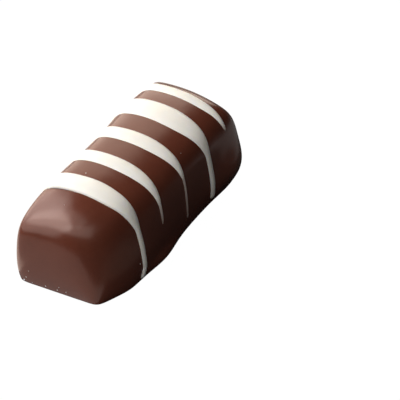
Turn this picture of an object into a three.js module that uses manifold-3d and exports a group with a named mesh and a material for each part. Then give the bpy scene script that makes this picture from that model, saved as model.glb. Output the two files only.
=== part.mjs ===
// A short filled chocolate bar, coated in milk chocolate and crossed by five
// threads of white chocolate. It is whole, so it is one solid: a loaf with a
// flat base, upright sides that lean in a little, a gently domed top that
// slopes down to the blunt near end, and the threads fused on as low ridges.
//
// Millimetres. X runs along the bar, from the blunt near end (-X) to the far
// end (+X). The side that shows the most is -Y. Z is up and the base is at 0.

import * as THREE from "three";
import { mergeVertices } from "three/addons/utils/BufferGeometryUtils.js";
import Module from "manifold-3d";

// ---- driving dimensions of the loaf ----

const halfLength = 26.78;
const halfWidth = 11.2;
const height = 17.96;

// How much the loaf narrows from base to top, as shares. The far end leans out.
const sideLean = 0.14;
const nearLean = 0.004;
const farLean = -0.014;

// The far end is not quite square: it runs back by this much per mm across.
const farSkew = 0.035;

// The rounded foot, where the coating draws in just above the base.
const footDepth = 0.81;
const footHeight = 2.7;

// The dome of the top: its fall to the long edges and to the two ends, as
// shares of the height, and how much the hidden long edge stands higher. The
// falls to the ends grow with a power of the way to them.
const crossFall = 0.171;
const edgeLift = 0.08;
const nearFall = 0.023;
const nearFallPower = 1.88;
const farFall = 0.031;
const farFallPower = 2;

// Edge powers: 2 would be an ellipse, and a larger power is a tighter edge.
const sideShoulder = 7.65;
const nearShoulder = 5.14;
const farShoulder = 6.2;
const nearSeenCorner = 12.7;
const nearHiddenCorner = 14.9;
const farSeenCorner = 9.1;
const farHiddenCorner = 15.3;

// The near end's corner on the seen side is cut off by a slanting face. Its
// edges are tight at the base and soften with the height z, over fade.
const slantAngle = THREE.MathUtils.degToRad(67.1);
const slantReach = 17.64;
const slantLean = 0.186;
const slantJoin = { base: 36, top: 8, fade: 3 };

// The top's slope at the near end is a flat face that falls to the hidden side
// too. Its turn is from -X towards +Y, its rise is that of its normal, and its
// edges to the top have the power edge.
const slope = {
  turn: THREE.MathUtils.degToRad(32.1),
  rise: THREE.MathUtils.degToRad(64.3),
  reach: 23.53,
  edge: 30,
};

// The hidden side is a little hollow along its middle and swells further on.
const hiddenHollow = { size: 0.92, x: -2.3, alongX: 12.9 };
const hiddenSwell = { size: 0.4, x: 12.1, alongX: 5.3 };

// Chocolate that ran down the seen side and set as low swells.
const nearSwell = { size: 0.93, x: -7.3, alongX: 5.9, z: 0, alongZ: 1.5 };
const farSwell = { size: 1.84, x: 20.1, alongX: 6.7, z: 4.1, alongZ: 4 };

// ---- driving dimensions of the white threads ----

// Each thread crosses the loaf at x, drifting by slant towards the far end on
// its way to the seen side, and its tail drifts on by drift. It has its width
// over the middle of the top and its edgeWidth over the hidden long edge, and
// thins to a tail down each side, which keeps the share taper of its width at
// its end. Its foot is turned by kick towards the near end. Its ends are angles
// about the X axis at the base: 0 is the seen foot, 90 the middle of the top
// and 180 the hidden foot.
const threads = [
  {
    x: -15.1,
    slant: 0.42,
    drift: 0.55,
    width: 4.6,
    edgeWidth: 4.8,
    tail: 1.3,
    taper: 1,
    kick: 1.1,
    ends: [1, 178],
  },
  {
    x: -6.82,
    slant: 0.3,
    drift: -0.45,
    width: 3.5,
    edgeWidth: 3.8,
    tail: 0.7,
    taper: 0.3,
    kick: 0,
    ends: [34, 152],
  },
  {
    x: 1.88,
    slant: 0.38,
    drift: -0.05,
    width: 3.8,
    edgeWidth: 4.2,
    tail: 0.55,
    taper: 0.45,
    kick: 0,
    ends: [14, 169],
  },
  {
    x: 11.68,
    slant: 0,
    drift: 0.33,
    width: 5.85,
    edgeWidth: 5.8,
    tail: 1.6,
    taper: 0.85,
    kick: 0,
    ends: [6, 177],
  },
  {
    x: 19.9,
    slant: 0,
    drift: 0.1,
    width: 2.9,
    edgeWidth: 3.1,
    tail: 0.8,
    taper: 0.3,
    kick: 0,
    ends: [50, 143],
  },
];

// Where the top's width gives way to the tail, on the seen and hidden sides,
// and where the width changes over to that of the hidden edge.
const seenNeck = { tail: 49, full: 87 };
const hiddenNeck = { tail: 140, full: 120 };
const edgeSpread = { from: 100, to: 124 };

// Where the drift of the tail sets in and where it is complete, and the same
// for the turn of the foot.
const driftSpan = { from: 75, to: 35 };
const kickSpan = { from: 13, to: 2 };

// A thread stands proud by threadBase plus threadSlope of its width, rounds off
// over tipLength of angle at its ends, and its middle is sunk by threadSink.
const threadBase = 0.26;
const threadSlope = 0.08;
const threadSink = 0.3;
const tipLength = 5;

// ---- mesh steps ----

const sideSteps = 18;
const endSteps = 22;
const wallSteps = 22;
const threadSteps = 40;
const threadSides = 10;

// ---- small helpers ----

function ramp(value, width) {
  return 1 / (1 + Math.exp(-value / width));
}

function mix(a, b, share) {
  return a + (b - a) * share;
}

function share(value, from, to) {
  return THREE.MathUtils.clamp((value - from) / (to - from), 0, 1);
}

// The angle at share t of a quarter turn, with the steps drawn closer round
// its middle, so that an edge there gets more of them.
function bunched(t) {
  const quarter = Math.PI / 2;
  const close = t < 1 ? Math.atan(Math.tan(t * quarter) ** 0.6) : quarter;
  return mix(t * quarter, close, 0.6);
}

// ---- the shape of the loaf ----

function swellAt(swell, x, z) {
  const along = ((x - swell.x) / swell.alongX) ** 2;
  const up = ((z - swell.z) / swell.alongZ) ** 2;
  return swell.size * Math.exp(-along - up);
}

function waveAt(wave, x) {
  return wave.size * Math.exp(-(((x - wave.x) / wave.alongX) ** 2));
}

// The walls seen from above: 1 on the wall at height z, less inside.
function plan(x, y, z, near, seen) {
  const level = Math.min(z / height, 1.3);
  const foot = footDepth * Math.exp(-z / footHeight);
  const swell = (swellAt(nearSwell, x, z) + swellAt(farSwell, x, z)) * seen;
  const wave = (waveAt(hiddenSwell, x) - waveAt(hiddenHollow, x)) * (1 - seen);
  const side = Math.abs(y) / (halfWidth * (1 - sideLean * level) - foot + swell + wave);
  const lean = mix(farLean, nearLean, near);
  const along = Math.abs(x - farSkew * (1 - near) * y);
  const end = along / (halfLength * (1 - lean * level) - foot);
  const across = -x * Math.cos(slantAngle) - y * Math.sin(slantAngle);
  const slant = Math.max(across, 0) / (slantReach * (1 - slantLean * level) - foot);
  const cornerSeen = mix(farSeenCorner, nearSeenCorner, near);
  const cornerHidden = mix(farHiddenCorner, nearHiddenCorner, near);
  const corner = mix(cornerHidden, cornerSeen, seen);
  const square = (side ** corner + end ** corner) ** (1 / corner);
  const join = mix(slantJoin.top, slantJoin.base, Math.exp(-z / slantJoin.fade));
  const value = (square ** join + slant ** join) ** (1 / join);
  return { value, endShare: end ** 4 / (side ** 4 + end ** 4 + 1e-9) };
}

// The height of the top over a point of the plan.
function topHeight(x, y, near) {
  const toEnd = Math.abs(x) / halfLength;
  const fallNear = near * nearFall * toEnd ** nearFallPower;
  const fallFar = (1 - near) * farFall * toEnd ** farFallPower;
  const aside = y / halfWidth;
  const dome = 1 + edgeLift * aside - crossFall * aside ** 2 - fallNear - fallFar;
  return height * Math.max(dome, 0.2);
}

// 1 on the flat slope at the near end, less below it.
function slopeShare(x, y, z) {
  const flat = -x * Math.cos(slope.turn) + y * Math.sin(slope.turn);
  const out = flat * Math.cos(slope.rise) + z * Math.sin(slope.rise);
  return Math.max(out, 0) / slope.reach;
}

// 1 on the loaf's surface, less inside and more outside.
function loaf(x, y, z) {
  const near = ramp(-x, 1.5);
  const seen = ramp(-y, 0.8);
  const walls = plan(x, y, z, near, seen);
  const top = z / topHeight(x, y, near);
  const endShoulder = mix(farShoulder, nearShoulder, near);
  const shoulder = mix(sideShoulder, endShoulder, walls.endShare);
  const rounded = (walls.value ** shoulder + top ** shoulder) ** (1 / shoulder);
  return (rounded ** slope.edge + slopeShare(x, y, z) ** slope.edge) ** (1 / slope.edge);
}

// The point where a ray from (x, 0, 0) leaves the loaf.
function surfacePoint(x, direction) {
  const start = new THREE.Vector3(x, 0, 0);
  const point = new THREE.Vector3();
  let inside = 0;
  let outside = 2 * halfLength;
  for (let step = 0; step < 40; step += 1) {
    const reach = (inside + outside) / 2;
    point.copy(start).addScaledVector(direction, reach);
    if (loaf(point.x, point.y, point.z) < 1) {
      inside = reach;
    } else {
      outside = reach;
    }
  }
  return point;
}

function surfaceNormal(p) {
  const d = 0.01;
  const nx = loaf(p.x + d, p.y, p.z) - loaf(p.x - d, p.y, p.z);
  const ny = loaf(p.x, p.y + d, p.z) - loaf(p.x, p.y - d, p.z);
  const nz = loaf(p.x, p.y, p.z + d) - loaf(p.x, p.y, p.z - d);
  return new THREE.Vector3(nx, ny, nz).normalize();
}

// ---- solids from grids of points ----

// Joins rows of points into a closed geometry. The rows run round the shape
// and close on themselves, and the first and last row are its two ends.
function closedGeometry(rows) {
  const positions = [];
  const quad = (a, b, c, d) => {
    for (const p of [a, b, c, a, c, d]) {
      positions.push(p.x, p.y, p.z);
    }
  };
  for (let j = 0; j + 1 < rows.length; j += 1) {
    const count = rows[j].length;
    for (let i = 0; i < count; i += 1) {
      const next = (i + 1) % count;
      quad(rows[j][i], rows[j][next], rows[j + 1][next], rows[j + 1][i]);
    }
  }
  const loose = new THREE.BufferGeometry();
  loose.setAttribute("position", new THREE.Float32BufferAttribute(positions, 3));
  return withoutSlivers(mergeVertices(loose, 1e-4));
}

// Drops the triangles that merging has closed to a line.
function withoutSlivers(geometry) {
  const kept = [];
  const index = geometry.index.array;
  for (let i = 0; i < index.length; i += 3) {
    const [a, b, c] = [index[i], index[i + 1], index[i + 2]];
    if (a !== b && b !== c && c !== a) {
      kept.push(a, b, c);
    }
  }
  geometry.setIndex(kept);
  return geometry;
}

// The feet of the rays that find the loaf's surface: a point on the middle
// line of the base, and a heading in plan, in order round the loaf.
function loafColumns() {
  const reach = halfLength - halfWidth;
  const columns = [];
  const straight = (sign) => {
    for (let i = 0; i < sideSteps; i += 1) {
      const x = sign * mix(reach, -reach, i / sideSteps);
      columns.push({ x, heading: (sign * Math.PI) / 2 });
    }
  };
  const round = (sign) => {
    for (let i = 0; i < endSteps; i += 1) {
      const quarter = i < endSteps / 2 ? 0 : 1;
      const t = (2 * i) / endSteps - quarter;
      const turn = quarter * (Math.PI / 2) + bunched(t) - Math.PI / 2;
      columns.push({ x: sign * reach, heading: turn + (sign < 0 ? Math.PI : 0) });
    }
  };
  round(1);
  straight(1);
  round(-1);
  straight(-1);
  return columns;
}

function loafGeometry() {
  const columns = loafColumns();
  const rows = [columns.map((column) => new THREE.Vector3(column.x, 0, 0))];
  for (let j = 0; j <= wallSteps; j += 1) {
    const rise = bunched(j / wallSteps);
    const row = columns.map(({ x, heading }) => {
      const flat = halfWidth * Math.cos(rise);
      const up = j === 0 ? 0 : height * Math.sin(rise);
      const side = j === wallSteps ? 0 : flat;
      const dx = side * Math.cos(heading);
      const dy = side * Math.sin(heading);
      return surfacePoint(x, new THREE.Vector3(dx, dy, up).normalize());
    });
    rows.push(row);
  }
  return closedGeometry(rows);
}

// ---- the threads ----

// The thread's width at an angle: the tail's width down the sides, growing to
// the full width over the top.
function threadWidth(thread, angle) {
  const seen = share(angle, seenNeck.tail, seenNeck.full);
  const hidden = share(angle, hiddenNeck.tail, hiddenNeck.full);
  const full = Math.sin((Math.PI / 2) * Math.min(seen, hidden));
  const spread = share(angle, edgeSpread.from, edgeSpread.to);
  const [seenEnd, hiddenEnd] = thread.ends;
  const fromEnd = Math.min(
    share(angle, seenEnd, seenNeck.tail),
    share(angle, hiddenEnd, hiddenNeck.tail),
  );
  const tail = thread.tail * mix(thread.taper, 1, fromEnd);
  return mix(tail, mix(thread.width, thread.edgeWidth, spread), full);
}

// How much of its section the thread keeps near its rounded ends, 1 elsewhere.
function threadTip(thread, angle) {
  const [seenEnd, hiddenEnd] = thread.ends;
  const fromSeen = share(angle, seenEnd, seenEnd + tipLength);
  const fromHidden = share(angle, hiddenEnd, hiddenEnd - tipLength);
  const near = Math.min(fromSeen, fromHidden);
  return Math.sqrt(1 - (1 - near) ** 2);
}

// One ring of the thread: an ellipse across it, with its middle a little under
// the loaf's surface, so that only a low dome stands proud.
function threadRing(thread, angle) {
  const turn = THREE.MathUtils.degToRad(angle);
  const heading = new THREE.Vector3(0, -Math.cos(turn), Math.sin(turn));
  const aside = -surfacePoint(thread.x, heading).y / halfWidth;
  const drifted = thread.drift * share(angle, driftSpan.from, driftSpan.to);
  const kicked = thread.kick * share(angle, kickSpan.from, kickSpan.to);
  const middle = surfacePoint(thread.x + thread.slant * aside + drifted - kicked, heading);
  const out = surfaceNormal(middle).setX(0).normalize();
  const along = new THREE.Vector3(1, 0, 0);
  const tip = threadTip(thread, angle);
  const width = threadWidth(thread, angle);
  const tall = threadBase + threadSlope * width + threadSink;
  const wide = width / 2 / Math.sqrt(1 - (threadSink / tall) ** 2);
  const ring = [];
  for (let i = 0; i < threadSides; i += 1) {
    const around = (2 * Math.PI * i) / threadSides;
    const point = middle.clone().addScaledVector(out, -threadSink);
    point.addScaledVector(along, wide * tip * Math.cos(around));
    point.addScaledVector(out, tall * tip * Math.sin(around));
    point.z = Math.max(point.z, 0);
    ring.push(point);
  }
  return ring;
}

function threadGeometry(thread) {
  const rows = [];
  for (let j = 0; j <= threadSteps; j += 1) {
    const t = j / threadSteps;
    const eased = (1 - Math.cos(Math.PI * t)) / 2;
    const angle = mix(...thread.ends, mix(t, eased, 0.3));
    rows.push(threadRing(thread, angle));
  }
  return closedGeometry(rows.reverse());
}

// ---- fusing ----

const library = await Module();
library.setup();

function solidOf(geometry) {
  return new library.Manifold(
    new library.Mesh({
      numProp: 3,
      vertProperties: geometry.attributes.position.array,
      triVerts: new Uint32Array(geometry.index.array),
    }),
  );
}

function geometryOf(solid) {
  const mesh = solid.getMesh();
  const positions = new Float32Array(mesh.numVert * 3);
  for (let i = 0; i < mesh.numVert; i += 1) {
    const from = i * mesh.numProp;
    positions.set(mesh.vertProperties.subarray(from, from + 3), i * 3);
  }
  const geometry = new THREE.BufferGeometry();
  geometry.setAttribute("position", new THREE.BufferAttribute(positions, 3));
  geometry.setIndex(new THREE.BufferAttribute(new Uint32Array(mesh.triVerts), 1));
  geometry.computeVertexNormals();
  return geometry;
}

function barGeometry() {
  let bar = solidOf(loafGeometry());
  for (const thread of threads) {
    bar = bar.add(solidOf(threadGeometry(thread)));
  }
  const geometry = geometryOf(bar);
  geometry.computeBoundingBox();
  const { min, max } = geometry.boundingBox;
  geometry.translate(-(min.x + max.x) / 2, -(min.y + max.y) / 2, 0);
  return geometry;
}

const milkChocolate = new THREE.MeshStandardMaterial({
  color: 0x5f3a31,
  roughness: 0.35,
  metalness: 0,
});

const bar = new THREE.Mesh(barGeometry(), milkChocolate);
bar.name = "bar";

const group = new THREE.Group();
group.add(bar);

export default group;
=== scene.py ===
# %% [markdown]
# # A chocolate bar with white threads
# The real thing is a soft filled bar that ran through a curtain of milk
# chocolate and then under a nozzle that swung across it and laid white threads.
# This lesson makes it from one formula for the coating, and lays every thread
# on that formula too, so nothing floats and nothing has to be fitted by hand.
#
# Sizes of the bar are in millimetres, as a confectioner would give them. Each
# node tree works in millimetres and brings its result to metres at its end.

# %% Load the frame
import math
import bpy
from mathutils import Matrix, Vector


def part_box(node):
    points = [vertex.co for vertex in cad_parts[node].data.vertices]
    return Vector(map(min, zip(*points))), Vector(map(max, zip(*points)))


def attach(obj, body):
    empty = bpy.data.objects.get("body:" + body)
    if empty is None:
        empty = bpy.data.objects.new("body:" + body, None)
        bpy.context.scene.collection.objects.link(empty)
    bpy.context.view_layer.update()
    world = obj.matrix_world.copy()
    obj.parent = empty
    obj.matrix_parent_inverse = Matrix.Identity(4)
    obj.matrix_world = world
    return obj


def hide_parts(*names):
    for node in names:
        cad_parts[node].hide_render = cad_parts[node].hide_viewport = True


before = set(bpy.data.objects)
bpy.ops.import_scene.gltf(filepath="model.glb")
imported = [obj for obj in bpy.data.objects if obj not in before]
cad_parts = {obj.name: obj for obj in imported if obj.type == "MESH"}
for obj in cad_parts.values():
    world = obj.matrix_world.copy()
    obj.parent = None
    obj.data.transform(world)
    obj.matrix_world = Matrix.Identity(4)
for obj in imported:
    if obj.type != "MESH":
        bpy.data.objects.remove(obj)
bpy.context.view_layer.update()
MM = 0.001
low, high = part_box("bar")
print("solid to dress: %.1f x %.1f x %.1f mm" % tuple((high - low) / MM))

# %% [markdown]
# ## The camera
# The picture was taken from well away with a long lens, so the bar's long
# edges stay almost parallel. A target point, two angles and a distance say
# where such a camera is more clearly than three numbers for its place would.

# %% Camera
CAMERA_AIM = Vector((7.83, -9.70, 3.16)) * MM
CAMERA_TURN = math.radians(-61.99)
CAMERA_RISE = math.radians(35.98)
CAMERA_ROLL = math.radians(-0.09)
CAMERA_DISTANCE = 404.8 * MM
LENS_MM = 189.1

back = Vector((math.sin(CAMERA_TURN), -math.cos(CAMERA_TURN), math.tan(CAMERA_RISE))).normalized()
level = Vector((math.cos(CAMERA_TURN), math.sin(CAMERA_TURN), 0))
upward = back.cross(level)
right = level * math.cos(CAMERA_ROLL) + upward * math.sin(CAMERA_ROLL)

camera = bpy.data.objects.new("camera", bpy.data.cameras.new("camera"))
bpy.context.collection.objects.link(camera)
camera.data.lens = LENS_MM
camera.data.clip_start = 0.01
turned = Matrix((right, back.cross(right), back)).transposed().to_4x4()
camera.matrix_world = Matrix.Translation(CAMERA_AIM + back * CAMERA_DISTANCE) @ turned
bpy.context.scene.camera = camera
print("camera %.0f mm from the bar, lens %.0f mm" % (CAMERA_DISTANCE / MM, LENS_MM))

# %% [markdown]
# ## Formulas as nodes
# A shape that follows a rule is best made by Geometry Nodes, but a formula of
# thirty steps is hard to read as thirty boxes. `Field` wraps one output of a
# node, and its + - * / and ** add a Math node. A formula is then written here
# as on paper, and Blender still gets an ordinary tree.

# %% A field that can be used in formulas
def feed(tree, socket, value):
    """Give a socket a plain number or the output of another node."""
    if isinstance(value, Field):
        tree.links.new(value.socket, socket)
    else:
        socket.default_value = value


class Field:
    """One output of a node tree, used like a number."""

    def __init__(self, tree, socket):
        self.tree = tree
        self.socket = socket

    def math(self, operation, *values):
        node = self.tree.nodes.new("ShaderNodeMath")
        node.operation = operation
        for socket, value in zip(node.inputs, values):
            feed(self.tree, socket, value)
        return Field(self.tree, node.outputs[0])

    def __add__(self, other):
        return self.math("ADD", self, other)

    def __sub__(self, other):
        return self.math("SUBTRACT", self, other)

    def __mul__(self, other):
        return self.math("MULTIPLY", self, other)

    def __truediv__(self, other):
        return self.math("DIVIDE", self, other)

    def __pow__(self, other):
        return self.math("POWER", self, other)

    def __radd__(self, other):
        return self.math("ADD", other, self)

    def __rsub__(self, other):
        return self.math("SUBTRACT", other, self)

    def __rmul__(self, other):
        return self.math("MULTIPLY", other, self)

    def __rtruediv__(self, other):
        return self.math("DIVIDE", other, self)

    def __neg__(self):
        return self * -1

    def __abs__(self):
        return self.math("ABSOLUTE", self)


def function(operation):
    """A one- or two-valued Math node as a Python function."""
    def apply(field, *others):
        return field.math(operation, field, *others)
    return apply


sine, cosine, root, exponent = map(function, ("SINE", "COSINE", "SQRT", "EXPONENT"))
least, greatest, below = map(function, ("MINIMUM", "MAXIMUM", "LESS_THAN"))


def ramp(value, width):
    """A soft step from 0 to 1, round value 0."""
    return 1 / (1 + exponent(-value / width))


def mix(a, b, share):
    return a + (b - a) * share


def share(value, start, end):
    """How far value has come from start to end, kept between 0 and 1."""
    return least(greatest((value - start) / (end - start), 0), 1)


print("formula words:", ", ".join(("sine", "cosine", "root", "ramp", "mix", "share")))

# %% [markdown]
# A tree also needs inputs, groups inside groups, points and captured values.
# These few helpers hide the bookkeeping, so that each tree below is short. A
# point is simply a list of three fields, x, y and z.

# %% Helpers for trees
def new_tree(name, sizes, points=(), geometry=True):
    """A Geometry Nodes tree with one named number input for each size."""
    tree = bpy.data.node_groups.new(name, "GeometryNodeTree")
    if geometry:
        tree.interface.new_socket("Geometry", in_out="INPUT", socket_type="NodeSocketGeometry")
        tree.interface.new_socket("Geometry", in_out="OUTPUT", socket_type="NodeSocketGeometry")
    for title in points:
        tree.interface.new_socket(title, in_out="INPUT", socket_type="NodeSocketVector")
    for title, value in sizes.items():
        socket = tree.interface.new_socket(title, in_out="INPUT", socket_type="NodeSocketFloat")
        socket.default_value = value
    return tree


def inputs_of(tree):
    """The tree's inputs by name, each as a field."""
    node = tree.nodes.new("NodeGroupInput")
    return {socket.name: Field(tree, socket) for socket in node.outputs if socket.name}


def add(tree, kind, values=None, **settings):
    """A node with its settings and some of its inputs filled in."""
    node = tree.nodes.new(kind)
    for key, value in settings.items():
        setattr(node, key, value)
    for title, value in (values or {}).items():
        feed(tree, node.inputs[title], value)
    return node


def out(node, title=0):
    """One output of a node, the first if no other is asked for."""
    return Field(node.id_data, node.outputs[title])


def split(field):
    """The x, y and z of a vector field."""
    node = add(field.tree, "ShaderNodeSeparateXYZ", {"Vector": field})
    return [Field(field.tree, socket) for socket in node.outputs]


def join(tree, point):
    """A vector field from x, y and z."""
    return out(add(tree, "ShaderNodeCombineXYZ", dict(zip("XYZ", point))))


def position(tree):
    return split(out(add(tree, "GeometryNodeInputPosition")))


def call(tree, group, values):
    """Use a group inside a tree."""
    return add(tree, "GeometryNodeGroup", values, node_tree=group)


def move_to(tree, geometry, point):
    values = {"Geometry": geometry, "Position": join(tree, point)}
    return out(add(tree, "GeometryNodeSetPosition", values))


def capture(tree, geometry, **fields):
    """Keep fields as they are now, before the points move."""
    node = add(tree, "GeometryNodeCaptureAttribute")
    for title, field in fields.items():
        node.capture_items.new("FLOAT", title)
        feed(tree, node.inputs[title], field)
    feed(tree, node.inputs["Geometry"], geometry)
    return out(node), {title: out(node, title) for title in fields}


def noise(tree, point, seed=0.0):
    """Smooth noise between about -1 and 1."""
    spot = join(tree, [point[0] + seed, point[1], point[2]])
    node = add(tree, "ShaderNodeTexNoise", {"Vector": spot, "Scale": 1.0, "Detail": 2.0})
    return (out(node) - 0.5) * 2


SHARP_EDGE = 50


def finish_tree(tree, geometry, material):
    """Smooth faces with sharp base edges, metres, real meshes and a material."""
    angle = out(add(tree, "GeometryNodeInputMeshEdgeAngle"))
    sharp = angle.math("GREATER_THAN", angle, math.radians(SHARP_EDGE))
    smooth = add(tree, "GeometryNodeSetShadeSmooth", {"Geometry": geometry})
    edges = add(tree, "GeometryNodeSetShadeSmooth", domain="EDGE")
    tree.links.new(smooth.outputs[0], edges.inputs["Geometry"])
    feed(tree, edges.inputs["Selection"], sharp)
    edges.inputs["Shade Smooth"].default_value = False
    metres = add(tree, "GeometryNodeTransform", {"Geometry": out(edges), "Scale": (MM, MM, MM)})
    real = add(tree, "GeometryNodeRealizeInstances", {"Geometry": out(metres)})
    finish = add(tree, "GeometryNodeSetMaterial", {"Geometry": out(real), "Material": material})
    result = tree.nodes.new("NodeGroupOutput")
    tree.links.new(finish.outputs[0], result.inputs[0])


print("edges over %d degrees stay sharp" % SHARP_EDGE)

# %% [markdown]
# A tree becomes a piece in four moves: a carrier object gets the tree as a
# modifier, the inputs are set by the sockets' identifiers, the evaluated object
# is read as a plain mesh, and the carrier goes. The piece that stays has no
# modifier, so it can be exported and moved like any other mesh.

# %% From a tree to a piece
def grow(name, tree, values, base=None):
    carrier = bpy.data.objects.new(name + "_carrier", base or bpy.data.meshes.new(name + "_base"))
    bpy.context.collection.objects.link(carrier)
    modifier = carrier.modifiers.new("shape", "NODES")
    modifier.node_group = tree
    sockets = {s.name: s.identifier for s in tree.interface.items_tree if s.in_out == "INPUT"}
    for title, value in values.items():
        modifier[sockets[title]] = value
    evaluated = carrier.evaluated_get(bpy.context.evaluated_depsgraph_get())
    mesh = bpy.data.meshes.new_from_object(evaluated)
    mesh.name = name
    piece = bpy.data.objects.new(name, mesh)
    bpy.context.collection.objects.link(piece)
    bpy.data.objects.remove(carrier)
    print("%s: %d points, %d faces" % (name, len(mesh.vertices), len(mesh.polygons)))
    return piece

# %% [markdown]
# ## Milk chocolate
# Tempered milk chocolate is a warm brown with a soft gloss. Close up it isn't
# even: the fat and the cocoa cool at different speeds, so broad patches are a
# little lighter, fine specks a little darker, and the gloss varies with them.
# A little light enters and comes out again, which takes the hardness off edges.
# All of this is noise on Object coordinates, so it stays with the bar.

# %% Milk chocolate
# between these two values lies nearly all of a noise
NOISE_LOW = 0.3
NOISE_HIGH = 0.7


def new_material(name):
    material = bpy.data.materials.new(name)
    material.use_nodes = True
    shader = material.node_tree.nodes["Principled BSDF"]
    return material, material.node_tree, shader


def object_noise(tree, per_mm, detail=3.0, roughness=0.5):
    """Noise with per_mm waves to the millimetre, on Object coordinates."""
    coordinates = add(tree, "ShaderNodeTexCoord")
    spot = out(coordinates, "Object")
    values = {"Vector": spot, "Scale": per_mm / MM, "Detail": detail, "Roughness": roughness}
    return out(add(tree, "ShaderNodeTexNoise", values))


def blend_colours(tree, factor, first, second):
    ramp_node = add(tree, "ShaderNodeValToRGB", {"Fac": factor})
    stops = ramp_node.color_ramp.elements
    stops[0].position = NOISE_LOW
    stops[0].color = (*first, 1)
    stops[1].position = NOISE_HIGH
    stops[1].color = (*second, 1)
    return out(ramp_node)


def spread(tree, factor, low_value, high_value):
    """Noise, brought between two values."""
    return out(add(tree, "ShaderNodeMapRange", {
        "Value": factor, "From Min": NOISE_LOW, "From Max": NOISE_HIGH,
        "To Min": low_value, "To Max": high_value}))


def relief(tree, shader, height, depth_mm):
    values = {"Height": height, "Distance": depth_mm * MM, "Strength": 1.0}
    bump = add(tree, "ShaderNodeBump", values)
    feed(tree, shader.inputs["Normal"], out(bump, "Normal"))


def set_shader(shader, values):
    for title, value in values.items():
        shader.inputs[title].default_value = value


MILK_DARKER = (0.101, 0.0262, 0.0148)
MILK_LIGHTER = (0.121, 0.033, 0.0185)
MILK_GLOSS = (0.21, 0.26)
milk, tree, shader = new_material("milk_chocolate")
patches = object_noise(tree, per_mm=0.13, detail=3.0)
specks = object_noise(tree, per_mm=2.2, detail=2.0, roughness=0.6)
shade = mix(patches, specks, share=0.25)
gloss = mix(patches, specks, share=0.2)
feed(tree, shader.inputs["Base Color"], blend_colours(tree, shade, MILK_DARKER, MILK_LIGHTER))
feed(tree, shader.inputs["Roughness"], spread(tree, gloss, *MILK_GLOSS))
relief(tree, shader, object_noise(tree, per_mm=0.7, detail=2.0, roughness=0.4), depth_mm=0.006)
set_shader(shader, {
    "IOR": 1.45, "Specular IOR Level": 0.8, "Specular Tint": (1.0, 0.77, 0.69, 1.0),
    "Subsurface Weight": 0.08, "Subsurface Radius": (1.0, 0.35, 0.2), "Subsurface Scale": 0.6 * MM,
})
print("milk chocolate has %d nodes" % len(tree.nodes))

# %% [markdown]
# ## White chocolate
# The threads are cocoa butter, milk and sugar without cocoa, so they are ivory
# rather than white, and light goes deeper into them. They have less gloss than the
# coating, because they set in the open air and weren't smoothed by a blower.
# Where a thread thins to a tail, the brown shows through it. The thread's tree
# says how thin it is at each point, in an attribute that this material reads.

# %% White chocolate
IVORY_DARKER = (0.85, 0.81, 0.735)
IVORY_LIGHTER = (0.88, 0.85, 0.785)
SHOWING_THROUGH = (0.15, 0.055, 0.035, 1)
WHITE_GLOSS = (0.42, 0.5)
# a Mix node's sockets for colours
FACTOR, FIRST_COLOUR, SECOND_COLOUR, MIXED_COLOUR = 0, 6, 7, 2

white, tree, shader = new_material("white_chocolate")
patches = object_noise(tree, per_mm=0.35, detail=2.0)
specks = object_noise(tree, per_mm=2.6, detail=2.0, roughness=0.6)
shade = mix(patches, specks, share=0.3)
ivory = blend_colours(tree, shade, IVORY_DARKER, IVORY_LIGHTER)
thin = out(add(tree, "ShaderNodeAttribute", attribute_name="thin"), "Fac")
veiled = add(tree, "ShaderNodeMix", data_type="RGBA")
feed(tree, veiled.inputs[FACTOR], thin)
feed(tree, veiled.inputs[FIRST_COLOUR], ivory)
feed(tree, veiled.inputs[SECOND_COLOUR], SHOWING_THROUGH)
feed(tree, shader.inputs["Base Color"], out(veiled, MIXED_COLOUR))
feed(tree, shader.inputs["Roughness"], spread(tree, specks, *WHITE_GLOSS))
relief(tree, shader, object_noise(tree, per_mm=1.6, detail=3.0, roughness=0.55), depth_mm=0.01)
set_shader(shader, {
    "IOR": 1.45,
    "Subsurface Weight": 0.25, "Subsurface Radius": (1.0, 0.8, 0.5), "Subsurface Scale": 0.8 * MM,
})
print("white chocolate has %d nodes" % len(tree.nodes))

# %% [markdown]
# ## The shape of the coating
# The bar is a loaf: a flat base, upright sides that lean in a little, a domed
# top that slopes down to the blunt near end, and rounded edges everywhere. Such
# a form could be sculpted, or made from a box with a bevel, but the edges of
# the real one change from place to place. One formula can say all of it. It
# gives 1 on the surface, less inside and more outside, and it joins the walls,
# the ends and the top by powers: power 2 would be an ellipse, and a larger
# power is a tighter edge.

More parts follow.
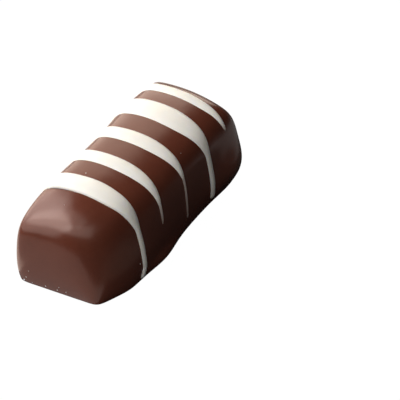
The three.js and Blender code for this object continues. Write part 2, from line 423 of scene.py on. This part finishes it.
# %% Sizes of the loaf
LOAF = {
    "Half Length": 26.78, "Half Width": 11.2, "Height": 17.96,
    # how much it narrows from base to top; the far end leans out
    "Side Lean": 0.14, "Near Lean": 0.004, "Far Lean": -0.014,
    # the far end runs back by this much per millimetre across
    "Far Skew": 0.035,
    # the foot, where the coating draws in above the base
    "Foot Depth": 0.81, "Foot Height": 2.7,
    # the dome: its falls as shares of the height
    "Cross Fall": 0.171, "Edge Lift": 0.08, "Near Fall": 0.023, "Near Fall Power": 1.88,
    "Far Fall": 0.031, "Far Fall Power": 2.0,
    # edge powers
    "Side Shoulder": 7.65, "Near Shoulder": 5.14, "Far Shoulder": 6.2,
    "Near Seen Corner": 12.7, "Near Hidden Corner": 14.9,
    "Far Seen Corner": 9.1, "Far Hidden Corner": 15.3,
    # the near corner on the seen side is cut off by a slanting face
    "Slant Angle": math.radians(67.1), "Slant Reach": 17.64, "Slant Lean": 0.186,
    # its edges are tight at the base and soften with the height
    "Slant Base Join": 36.0, "Slant Top Join": 8.0, "Slant Fade": 3.0,
    # the slope at the near end is a flat face that falls to the hidden side too
    "Slope Turn": math.radians(32.1), "Slope Rise": math.radians(64.3),
    "Slope Reach": 23.53, "Slope Edge": 30.0,
    # the hidden side is hollow along its middle and swells further on
    "Hidden Hollow": 0.92, "Hidden Hollow X": -2.3, "Hidden Hollow Along": 12.9,
    "Hidden Swell": 0.4, "Hidden Swell X": 12.1, "Hidden Swell Along": 5.3,
    # chocolate that ran down the seen side and set as two low swells
    "Near Swell": 0.93, "Near Swell X": -7.3, "Near Swell Along": 5.9,
    "Near Swell Z": 0.0, "Near Swell Up": 1.5,
    "Far Swell": 1.84, "Far Swell X": 20.1, "Far Swell Along": 6.7,
    "Far Swell Z": 4.1, "Far Swell Up": 4.0,
}
print("the loaf has %d sizes" % len(LOAF))

# %% The loaf's formula
# over so many mm the near end's sizes give way to the far end's
ENDS_CHANGE = 1.5
# and the seen side's to the hidden side's
SIDES_CHANGE = 0.8
# the lean stops growing at this share of the height, well outside the loaf
MOST_RISE = 1.3
# and the top falls no lower than this
LEAST_TOP = 0.2
# how sharply a point goes over from side to end
END_POWER = 4
# keeps the middle line from dividing by 0
NEVER_ZERO = 1e-9


def swell(size, name, x, z):
    along = (x - size[name + " X"]) / size[name + " Along"]
    up = (z - size[name + " Z"]) / size[name + " Up"]
    return size[name] * exponent(-along * along - up * up)


def wave(size, name, x):
    along = (x - size[name + " X"]) / size[name + " Along"]
    return size[name] * exponent(-along * along)


def walls(size, x, y, z, near, seen):
    """1 on the walls at this height, and how much the point belongs to an end."""
    rise = least(z / size["Height"], MOST_RISE)
    foot = size["Foot Depth"] * exponent(-z / size["Foot Height"])
    swells = (swell(size, "Near Swell", x, z) + swell(size, "Far Swell", x, z)) * seen
    waves = (wave(size, "Hidden Swell", x) - wave(size, "Hidden Hollow", x)) * (1 - seen)
    side = abs(y) / (size["Half Width"] * (1 - size["Side Lean"] * rise) - foot + swells + waves)
    lean = mix(size["Far Lean"], size["Near Lean"], near)
    along = abs(x - size["Far Skew"] * (1 - near) * y)
    end = along / (size["Half Length"] * (1 - lean * rise) - foot)
    across = greatest(-x * cosine(size["Slant Angle"]) - y * sine(size["Slant Angle"]), 0)
    slant = across / (size["Slant Reach"] * (1 - size["Slant Lean"] * rise) - foot)
    hidden_corner = mix(size["Far Hidden Corner"], size["Near Hidden Corner"], near)
    seen_corner = mix(size["Far Seen Corner"], size["Near Seen Corner"], near)
    corner = mix(hidden_corner, seen_corner, seen)
    square = (side ** corner + end ** corner) ** (1 / corner)
    at_base = exponent(-z / size["Slant Fade"])
    join_power = mix(size["Slant Top Join"], size["Slant Base Join"], at_base)
    value = (square ** join_power + slant ** join_power) ** (1 / join_power)
    towards_end = end ** END_POWER
    return value, towards_end / (side ** END_POWER + towards_end + NEVER_ZERO)


def top_height(size, x, y, near):
    to_end = abs(x) / size["Half Length"]
    aside = y / size["Half Width"]
    near_fall = near * size["Near Fall"] * to_end ** size["Near Fall Power"]
    far_fall = (1 - near) * size["Far Fall"] * to_end ** size["Far Fall Power"]
    dome = 1 + size["Edge Lift"] * aside - size["Cross Fall"] * aside * aside
    return size["Height"] * greatest(dome - near_fall - far_fall, LEAST_TOP)


def slope_share(size, x, y, z):
    """1 on the flat slope at the near end, less below it."""
    flat = y * sine(size["Slope Turn"]) - x * cosine(size["Slope Turn"])
    outward = flat * cosine(size["Slope Rise"]) + z * sine(size["Slope Rise"])
    return greatest(outward, 0) / size["Slope Reach"]


def loaf_value(size, x, y, z):
    near = ramp(-x, ENDS_CHANGE)
    seen = ramp(-y, SIDES_CHANGE)
    wall, end_share = walls(size, x, y, z, near, seen)
    top = z / top_height(size, x, y, near)
    end_shoulder = mix(size["Far Shoulder"], size["Near Shoulder"], near)
    shoulder = mix(size["Side Shoulder"], end_shoulder, end_share)
    rounded = (wall ** shoulder + top ** shoulder) ** (1 / shoulder)
    edge = size["Slope Edge"]
    return (rounded ** edge + slope_share(size, x, y, z) ** edge) ** (1 / edge)


loaf = new_tree("Loaf", LOAF, points=["Point"], geometry=False)
loaf.interface.new_socket("Value", in_out="OUTPUT", socket_type="NodeSocketFloat")
size = inputs_of(loaf)
value = loaf_value(size, *split(size["Point"]))
loaf.links.new(value.socket, loaf.nodes.new("NodeGroupOutput").inputs[0])
print("the loaf's formula took %d nodes" % len(loaf.nodes))

# %% [markdown]
# ## Settling points on the loaf
# Every point of the coating and of the threads has a core, a point on the
# middle line of the base, and lies on a ray from there. It is on the surface
# where the formula gives 1. The formula grows almost evenly along a ray, so
# dividing the point's distance by the value it has lands close to the surface,
# and a few rounds of a Repeat Zone land on it. A slightly softened division
# keeps the steep near slope from overshooting.

# %% A group that settles points
SETTLE_ROUNDS = 16
SOFTENED = 0.75


def value_at(tree, size, point):
    """The loaf's value at a point."""
    sizes = {name: size[name] for name in LOAF}
    return out(call(tree, loaf, {"Point": join(tree, point), **sizes}))


settle = new_tree("Settle on Loaf", LOAF, points=["Core"])
given = inputs_of(settle)
repeat_in = settle.nodes.new("GeometryNodeRepeatInput")
repeat_out = settle.nodes.new("GeometryNodeRepeatOutput")
repeat_in.pair_with_output(repeat_out)
repeat_in.inputs["Iterations"].default_value = SETTLE_ROUNDS
feed(settle, repeat_in.inputs["Geometry"], given["Geometry"])
point = position(settle)
pull = value_at(settle, given, point) ** -SOFTENED
core = split(given["Core"])
pulled = [c + (p - c) * pull for p, c in zip(point, core)]
settled = move_to(settle, out(repeat_in, "Geometry"), pulled)
feed(settle, repeat_out.inputs["Geometry"], settled)
result = settle.nodes.new("NodeGroupOutput")
settle.links.new(repeat_out.outputs["Geometry"], result.inputs["Geometry"])
print("points settle in %d rounds" % SETTLE_ROUNDS)

# %% Use the group
def settle_points(tree, geometry, size, core_x):
    """Bring points to the loaf along rays from the middle line at core_x."""
    sizes = {name: size[name] for name in LOAF}
    core = join(tree, [core_x, 0.0, 0.0])
    return out(call(tree, settle, {"Geometry": geometry, "Core": core, **sizes}))


def core_for(size, x):
    """The rays of the loaf start closer to its middle than they end."""
    return x * (1 - size["Half Width"] / size["Half Length"])


print("a ray to the near end starts %.1f mm inside it" % LOAF["Half Width"])

# %% [markdown]
# ## The coating
# The coating starts as a box of small squares, because a box has no poles where
# faces crowd, and its squares run along the bar as the reflections do. Each
# square is settled on the loaf. The underside stays flat. A slow, very low
# noise then moves the surface in and out, as real chocolate never sets dead
# flat, and it fades out at the foot so that the base stays true.

# %% The coating's tree
COLUMNS, ROWS_ACROSS, ROWS_UP = 151, 67, 55
RIPPLES = {"Ripple Height": 0.05, "Ripple Length": 7.0}
# over this height (mm) the ripples come in
RIPPLES_FROM, RIPPLES_TO = 0.3, 3.0
# a point lower than this (mm) belongs to the underside
UNDERSIDE = 0.001


def box_of_squares(tree, size):
    length, width, tall = size["Half Length"] * 2, size["Half Width"] * 2, size["Height"]
    cube = add(tree, "GeometryNodeMeshCube", {
        "Size": join(tree, [length, width, tall]),
        "Vertices X": COLUMNS, "Vertices Y": ROWS_ACROSS, "Vertices Z": ROWS_UP})
    raised = add(tree, "GeometryNodeTransform", {
        "Geometry": out(cube), "Translation": join(tree, [0.0, 0.0, tall / 2])})
    return out(raised)


coating_tree = new_tree("Coating", {**LOAF, **RIPPLES})
size = inputs_of(coating_tree)
x, y, z = position(coating_tree)
across = greatest(abs(x) / size["Half Length"], abs(y) / size["Half Width"])
inward = mix(1, across, below(z, UNDERSIDE))
box = box_of_squares(coating_tree, size)
geometry, kept = capture(coating_tree, box, core_x=core_for(size, x), inward=inward)
core_x, inward = kept["core_x"], kept["inward"]
geometry = settle_points(coating_tree, geometry, size, core_x)
x, y, z = position(coating_tree)
geometry = move_to(coating_tree, geometry, [core_x + (x - core_x) * inward, y * inward, z])
ripple = noise(coating_tree, [part / size["Ripple Length"] for part in (x, y, z)])
ripple = ripple * size["Ripple Height"] * share(z, RIPPLES_FROM, RIPPLES_TO)
normal = split(out(add(coating_tree, "GeometryNodeInputNormal")))
geometry = move_to(coating_tree, geometry, [p + n * ripple for p, n in zip((x, y, z), normal)])
finish_tree(coating_tree, geometry, milk)

coating = grow("coating", coating_tree, {**LOAF, **RIPPLES})

# %% [markdown]
# ## The threads
# A nozzle laid five threads across the bar. Each is broad where it lies on the
# top and thins to a tail where it ran down a side. A bevelled curve would give
# a round cord of one width, so the thread is swept here instead: rings stand
# along the angle about the middle line of the base, each ring is an ellipse
# sunk a little into the coating, and only a low dome shows. An angle of 0 is
# the seen foot, 90 the middle of the top and 180 the hidden foot.

# %% The threads' sizes
# what a thread has of its own
THREAD = {
    "X": 0.0, "Slant": 0.0, "Drift": 0.0, "Kick": 0.0,
    "Width": 4.0, "Edge Width": 4.0, "Tail": 1.0, "Taper": 1.0,
    "Seen End": 0.0, "Hidden End": 180.0, "Seed": 0.0,
}
# and what all threads share: angles in degrees, lengths in mm
THREAD_RULE = {
    # where the broad part gives way to the tail
    "Seen Neck": 49.0, "Seen Full": 87.0, "Hidden Neck": 140.0, "Hidden Full": 120.0,
    # where the width changes over to that of the hidden edge
    "Edge From": 100.0, "Edge To": 124.0,
    # where the tail's drift sets in and is complete
    "Drift From": 75.0, "Drift To": 35.0,
    # where the foot kicks back
    "Kick From": 13.0, "Kick To": 2.0,
    # how proud it stands, how deep its middle is sunk, and its rounded tips
    "Base Rise": 0.26, "Rise per Width": 0.08, "Sink": 0.3, "Tip Length": 5.0,
    # how unevenly it ran
    "Unevenness": 0.02, "Wander": 0.03,
}
# a thread of the first width (mm) is all but clear, one of the second hides the brown
COVERING = (0.0, 1.35)
RINGS = 181
RING_SIDES = 28
# a row for each thread: its place along the bar, its slant towards the seen side, how
# far its seen tail drifts and its foot kicks back (mm), its widths on the top, over the
# hidden edge and in the tails (mm), the share that a tail keeps to its end, and where
# it ends on the seen and the hidden side (degrees)
COLUMN_NAMES = (
    "X", "Slant", "Drift", "Kick", "Width", "Edge Width", "Tail", "Taper", "Seen End", "Hidden End")
THREADS = [
    (-15.1, 0.42, 0.55, 1.1, 4.6, 4.8, 1.3, 1.0, 1.0, 178.0),
    (-6.82, 0.3, -0.45, 0.0, 3.5, 3.8, 0.7, 0.3, 34.0, 152.0),
    (1.88, 0.38, -0.05, 0.0, 3.8, 4.2, 0.55, 0.45, 14.0, 169.0),
    (11.68, 0.0, 0.33, 0.0, 5.85, 5.8, 1.6, 0.85, 6.0, 177.0),
    (19.9, 0.0, 0.1, 0.0, 2.9, 3.1, 0.8, 0.3, 50.0, 143.0),
]
print("%d threads of %d rings" % (len(THREADS), RINGS))

# %% The threads' widths
# how far the rings crowd towards both ends
CROWDING = 0.3
# over so many degrees the width changes, and over so many the thread wanders
UNEVEN_DEGREES = 14
WANDER_DEGREES = 25
# two lines through the noise that lie well apart
UNEVEN_LINE, WANDER_LINE = 3.0, 9.0


def ring_angle(size, t):
    """The angle of a ring, with the rings a little closer at both ends."""
    eased = (1 - cosine(t * math.pi)) / 2
    return mix(size["Seen End"], size["Hidden End"], mix(t, eased, CROWDING))


def thread_width(tree, size, angle):
    seen = share(angle, size["Seen Neck"], size["Seen Full"])
    hidden = share(angle, size["Hidden Neck"], size["Hidden Full"])
    full = sine(least(seen, hidden) * (math.pi / 2))
    over_edge = share(angle, size["Edge From"], size["Edge To"])
    broad = mix(size["Width"], size["Edge Width"], over_edge)
    from_seen = share(angle, size["Seen End"], size["Seen Neck"])
    from_hidden = share(angle, size["Hidden End"], size["Hidden Neck"])
    tail = size["Tail"] * mix(size["Taper"], 1, least(from_seen, from_hidden))
    line = [angle / UNEVEN_DEGREES, 0.0, UNEVEN_LINE]
    uneven = 1 + size["Unevenness"] * noise(tree, line, seed=size["Seed"])
    return mix(tail, broad, full) * uneven


def tip_share(size, angle):
    """1 along the thread, and less where its ends round off."""
    seen = share(angle, size["Seen End"], size["Seen End"] + size["Tip Length"])
    hidden = share(angle, size["Hidden End"], size["Hidden End"] - size["Tip Length"])
    rest = 1 - least(seen, hidden)
    return root(1 - rest * rest)


print("a thread's ends round off over %.0f degrees" % THREAD_RULE["Tip Length"])

# %% The threads' tree
# a step (mm) for measuring how fast the loaf's value grows
STEP = 0.02
# points closer than this (mm) are one
WELD = 0.0005


def settle_on_ray(tree, geometry, size, core_x, angle):
    """Bring points to the loaf at this angle about the middle line."""
    turn = angle * math.radians(1)
    start = [core_x, -cosine(turn) * size["Half Width"], sine(turn) * size["Half Width"]]
    return settle_points(tree, move_to(tree, geometry, start), size, core_x)


def growth(tree, size, point, axis):
    """How fast the loaf's value grows along one axis."""
    ahead = [p + (STEP if i == axis else 0.0) for i, p in enumerate(point)]
    behind = [p - (STEP if i == axis else 0.0) for i, p in enumerate(point)]
    return value_at(tree, size, ahead) - value_at(tree, size, behind)


thread_tree = new_tree("Thread", {**THREAD, **THREAD_RULE, **LOAF})
size = inputs_of(thread_tree)
grid = add(thread_tree, "GeometryNodeMeshGrid", {
    "Size X": 1.0, "Size Y": 1.0, "Vertices X": RINGS, "Vertices Y": RING_SIDES + 1})
x, y, z = position(thread_tree)
geometry, kept = capture(
    thread_tree, out(grid), angle=ring_angle(size, x + 0.5), around=(y + 0.5) * math.tau)
angle, around = kept["angle"], kept["around"]

geometry = settle_on_ray(thread_tree, geometry, size, size["X"], angle)
aside = -position(thread_tree)[1] / size["Half Width"]
line = [angle / WANDER_DEGREES, 0.0, WANDER_LINE]
wander = size["Wander"] * noise(thread_tree, line, seed=size["Seed"])
core_x = (size["X"] + size["Slant"] * aside + wander
          + size["Drift"] * share(angle, size["Drift From"], size["Drift To"])
          - size["Kick"] * share(angle, size["Kick From"], size["Kick To"]))
width = thread_width(thread_tree, size, angle)
geometry, kept = capture(thread_tree, geometry, core_x=core_x, width=width)
width = kept["width"]
geometry = settle_on_ray(thread_tree, geometry, size, kept["core_x"], angle)

point = position(thread_tree)
out_y, out_z = [growth(thread_tree, size, point, axis) for axis in (1, 2)]
length = root(out_y * out_y + out_z * out_z)
out_y, out_z = out_y / length, out_z / length
tall = size["Base Rise"] + size["Rise per Width"] * width + size["Sink"]
wide = width / 2 / root(1 - (size["Sink"] / tall) ** 2)
tip = tip_share(size, angle)
lift = tall * tip * sine(around) - size["Sink"]
geometry = move_to(thread_tree, geometry, [
    point[0] + wide * tip * cosine(around), point[1] + out_y * lift,
    greatest(point[2] + out_z * lift, 0)])
closed = add(thread_tree, "GeometryNodeMergeByDistance", {"Geometry": geometry, "Distance": WELD})
thin = 1 - share(width, *COVERING)
marked = add(thread_tree, "GeometryNodeStoreNamedAttribute", {
    "Geometry": out(closed), "Name": "thin", "Value": thin}, data_type="FLOAT")
finish_tree(thread_tree, out(marked), white)
print("a thread takes %d nodes" % len(thread_tree.nodes))

# %% Lay the threads
# so far apart in the noise are the threads
SEED_STEP = 7.3
threads = []
for number, row in enumerate(THREADS, start=1):
    sizes = {**LOAF, **THREAD_RULE, **dict(zip(COLUMN_NAMES, row)), "Seed": SEED_STEP * number}
    threads.append(grow("thread_%d" % number, thread_tree, sizes))

# %% [markdown]
# ## Crumbs
# A few pale crumbs and beads of white chocolate stuck to the coating while it
# was soft: along the foot of the near end, at the foot of the first thread, and
# here and there on top. Each is a point near the coating that is settled on it
# like the coating's own points. A small ball on every point, stretched and
# turned at random, looks like a crumb at this size, and half of it is sunk.

# %% Where the crumbs are
# x, y, z and size across (mm)
CRUMBS = [
    # along the foot of the near end
    (-26.0, 8.4, 0.5, 0.36), (-26.3, 7.8, 1.5, 0.24), (-26.1, 6.6, 0.6, 0.2),
    (-26.5, 7.0, 3.3, 0.2), (-26.2, 3.7, 0.8, 0.3), (-26.2, 1.2, 0.8, 0.32),
    (-26.3, 0.7, 1.7, 0.2), (-26.2, -0.7, 1.0, 0.24),
    # on top
    (-12.3, 2.6, 17.9, 0.2), (3.9, -3.2, 17.3, 0.18), (14.6, -1.8, 17.4, 0.18),
    (-20.8, 2.2, 16.3, 0.16), (5.1, -7.8, 15.1, 0.14),
    # beads beside the foot of the first thread
    (-13.9, -10.5, 3.8, 0.32), (-14.3, -10.5, 3.3, 0.28), (-15.6, -10.4, 3.8, 0.26),
    (-13.9, -10.7, 1.2, 0.36), (-14.3, -10.7, 0.6, 0.3),
    # on the hidden side and the far end
    (-8.0, 10.5, 3.0, 0.2), (9.5, 11.0, 2.0, 0.22), (26.8, 3.0, 2.5, 0.2), (26.8, -4.0, 1.2, 0.24),
]
print("%d crumbs and beads" % len(CRUMBS))

# %% Crumbs
CRUMB_SEED = 4
# the thickness and the length of a crumb lie between these shares of its size
THINNEST, LONGEST = 0.45, 0.95
# the node's output that holds a plain number
RANDOM_NUMBER = 1


def random_share(tree, seed):
    """A random number from 0 to 1 for each point."""
    node = add(tree, "FunctionNodeRandomValue", {"Seed": seed}, data_type="FLOAT")
    return out(node, RANDOM_NUMBER)


crumb_tree = new_tree("Crumbs", LOAF)
size = inputs_of(crumb_tree)
core_x = core_for(size, position(crumb_tree)[0])
geometry, kept = capture(crumb_tree, size["Geometry"], core_x=core_x)
geometry = settle_points(crumb_tree, geometry, size, kept["core_x"])
ball = add(crumb_tree, "GeometryNodeMeshIcoSphere", {"Radius": 0.5, "Subdivisions": 2})
given_size = add(
    crumb_tree, "GeometryNodeInputNamedAttribute", {"Name": "across"}, data_type="FLOAT")
chances = [random_share(crumb_tree, CRUMB_SEED + i) for i in range(6)]
stretch = [out(given_size) * mix(THINNEST, LONGEST, chance) for chance in chances[:3]]
turned = [chance * math.tau for chance in chances[3:]]
instances = add(crumb_tree, "GeometryNodeInstanceOnPoints", {
    "Points": geometry, "Instance": out(ball),
    "Rotation": join(crumb_tree, turned), "Scale": join(crumb_tree, stretch)})
finish_tree(crumb_tree, out(instances), white)

crumb_points = bpy.data.meshes.new("crumb_points")
crumb_points.from_pydata([row[:3] for row in CRUMBS], [], [])
across = crumb_points.attributes.new("across", "FLOAT", "POINT")
across.data.foreach_set("value", [row[3] for row in CRUMBS])
crumbs = grow("crumbs", crumb_tree, LOAF, base=crumb_points)

# %% [markdown]
# ## In the frame
# The loaf isn't symmetric, so its own middle isn't the middle of its box. The
# frame puts the middle of the box at the origin, and every piece moves there
# together. The points of the meshes move, and the objects stay at the origin.

# %% Centre the pieces and hand them over
def joint_box(objects):
    corners = [vertex.co for o in objects for vertex in o.data.vertices]
    least_corner = Vector([min(c[i] for c in corners) for i in range(3)])
    most_corner = Vector([max(c[i] for c in corners) for i in range(3)])
    return least_corner, most_corner


pieces = [coating, *threads]
box_low, box_high = joint_box(pieces)
to_frame = (low + high) / 2 - (box_low + box_high) / 2
to_frame.z = low.z - box_low.z
for piece in [*pieces, crumbs]:
    piece.data.transform(Matrix.Translation(to_frame))
    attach(piece, "root")
    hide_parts("bar")
print("moved by %.3f, %.3f, %.3f mm" % tuple(to_frame / MM))

# %% [markdown]
# ## Floor and light
# The bar stood on plain white. Where a glossy thing looks bright tells where the
# light was, because each spot mirrors one direction: the near slope mirrors a
# large window at the left, the top mirrors a warmer wall behind, and the side
# towards the right mirrors nothing and is almost black. So the room is made of
# a few large soft lights, each given by its direction and by how much of the
# view it takes, and it stays dark at the right. The walls of the bar mirror the
# ground close to it, and there bright cards lie on the table.
#
# White paper that glows for the camera alone keeps the picture's ground white.
# A darker sheet just under it is the one that the bar's light falls on, or the
# glow would brighten the dark side too.

# %% The floor
FLOOR_HALF = 4.0
TABLE_DEPTH = 0.02 * MM
TABLE_GREY = 0.04
CORNERS = ((-1, -1), (1, -1), (1, 1), (-1, 1))


def sheet_of_paper(name, depth, grey, glow):
    mesh = bpy.data.meshes.new(name)
    corners = [(a * FLOOR_HALF, b * FLOOR_HALF, -depth) for a, b in CORNERS]
    mesh.from_pydata(corners, [], [(0, 1, 2, 3)])
    sheet = bpy.data.objects.new(name, mesh)
    bpy.context.collection.objects.link(sheet)
    paper, _, shader = new_material(name)
    set_shader(shader, {
        "Base Color": (grey, grey, grey, 1), "Roughness": 0.9, "Specular IOR Level": 0.2,
        "Emission Color": (1, 1, 1, 1), "Emission Strength": glow,
    })
    mesh.materials.append(paper)
    return sheet


floor = sheet_of_paper("floor", depth=0.0, grey=0.0, glow=1.0)
floor.visible_diffuse = floor.visible_glossy = floor.visible_shadow = False
table = sheet_of_paper("table", depth=TABLE_DEPTH, grey=TABLE_GREY, glow=0.0)
table.visible_camera = False
print("floor %.0f m wide" % (2 * FLOOR_HALF))

# %% Soft lights
# name: degrees round from +X, degrees up, degrees wide, degrees tall, radiance, colour
DAYLIGHT = (1.0, 1.0, 1.0)
WARM = (1.0, 0.88, 0.76)
LIGHTS = {
    "window": (118, 38, 80, 66, 1.25, DAYLIGHT),
    "window_middle": (134, 50, 52, 30, 2.8, DAYLIGHT),
    "window_top": (94, 50, 30, 16, 2.2, DAYLIGHT),
    "window_foot": (132, 20, 54, 30, 0.5, DAYLIGHT),
    "window_side": (80, 27, 28, 30, 1.9, DAYLIGHT),
    "near_wall": (205, 47, 58, 28, 1.3, DAYLIGHT),
    "ceiling": (165, 74, 50, 26, 1.15, DAYLIGHT),
    "back_wall": (39, 36, 54, 28, 1.95, WARM),
    "low_wall": (44, 12, 70, 22, 2.5, WARM),
}
# name: x and y on the table, side length (mm), radiance, colour
CARDS = {
    "near_card": (-59.2, 14, 66, 0.5, DAYLIGHT),
    "right_card": (-19, -33, 28, 0.12, WARM),
    "back_card": (22, 65, 106, 1.1, WARM),
    "far_card": (62, -28, 40, 0.24, DAYLIGHT),
}
LIGHT_DISTANCE = 0.6
CARD_HEIGHT = 0.1 * MM
ROOM_LIGHT = 0.01


def soft_light(name, place, facing, width, tall, radiance, colour):
    lamp = bpy.data.lights.new(name, "AREA")
    lamp.shape = "RECTANGLE"
    lamp.size = width
    lamp.size_y = tall
    lamp.energy = radiance * math.pi * width * tall
    lamp.color = colour
    light = bpy.data.objects.new(name, lamp)
    bpy.context.collection.objects.link(light)
    turned = facing.to_track_quat("-Z", "Y").to_matrix().to_4x4()
    light.matrix_world = Matrix.Translation(place) @ turned
    light.visible_camera = False


def span(degrees):
    """The width at the lights' distance that takes this angle."""
    return 2 * LIGHT_DISTANCE * math.tan(math.radians(degrees / 2))


def heading(turn, rise):
    """A direction turned round from +X and raised, both in degrees."""
    turn, rise = math.radians(turn), math.radians(rise)
    flat = math.cos(rise)
    return Vector((math.cos(turn) * flat, math.sin(turn) * flat, math.sin(rise)))


for name, (turn, rise, wide, tall, radiance, colour) in LIGHTS.items():
    towards = heading(turn, rise)
    soft_light(name, towards * LIGHT_DISTANCE, -towards, span(wide), span(tall), radiance, colour)
for name, (x, y, side, radiance, colour) in CARDS.items():
    place = Vector((x * MM, y * MM, CARD_HEIGHT))
    soft_light(name, place, Vector((0, 0, 1)), side * MM, side * MM, radiance, colour)
print("%d soft lights and %d cards" % (len(LIGHTS), len(CARDS)))

# %% The room
world = bpy.data.worlds.new("room")
world.use_nodes = True
set_shader(world.node_tree.nodes["Background"], {"Color": (1, 1, 1, 1), "Strength": ROOM_LIGHT})
bpy.context.scene.world = world
bpy.context.scene.view_settings.view_transform = "Standard"
print("the room itself gives %.2f of full light" % ROOM_LIGHT)
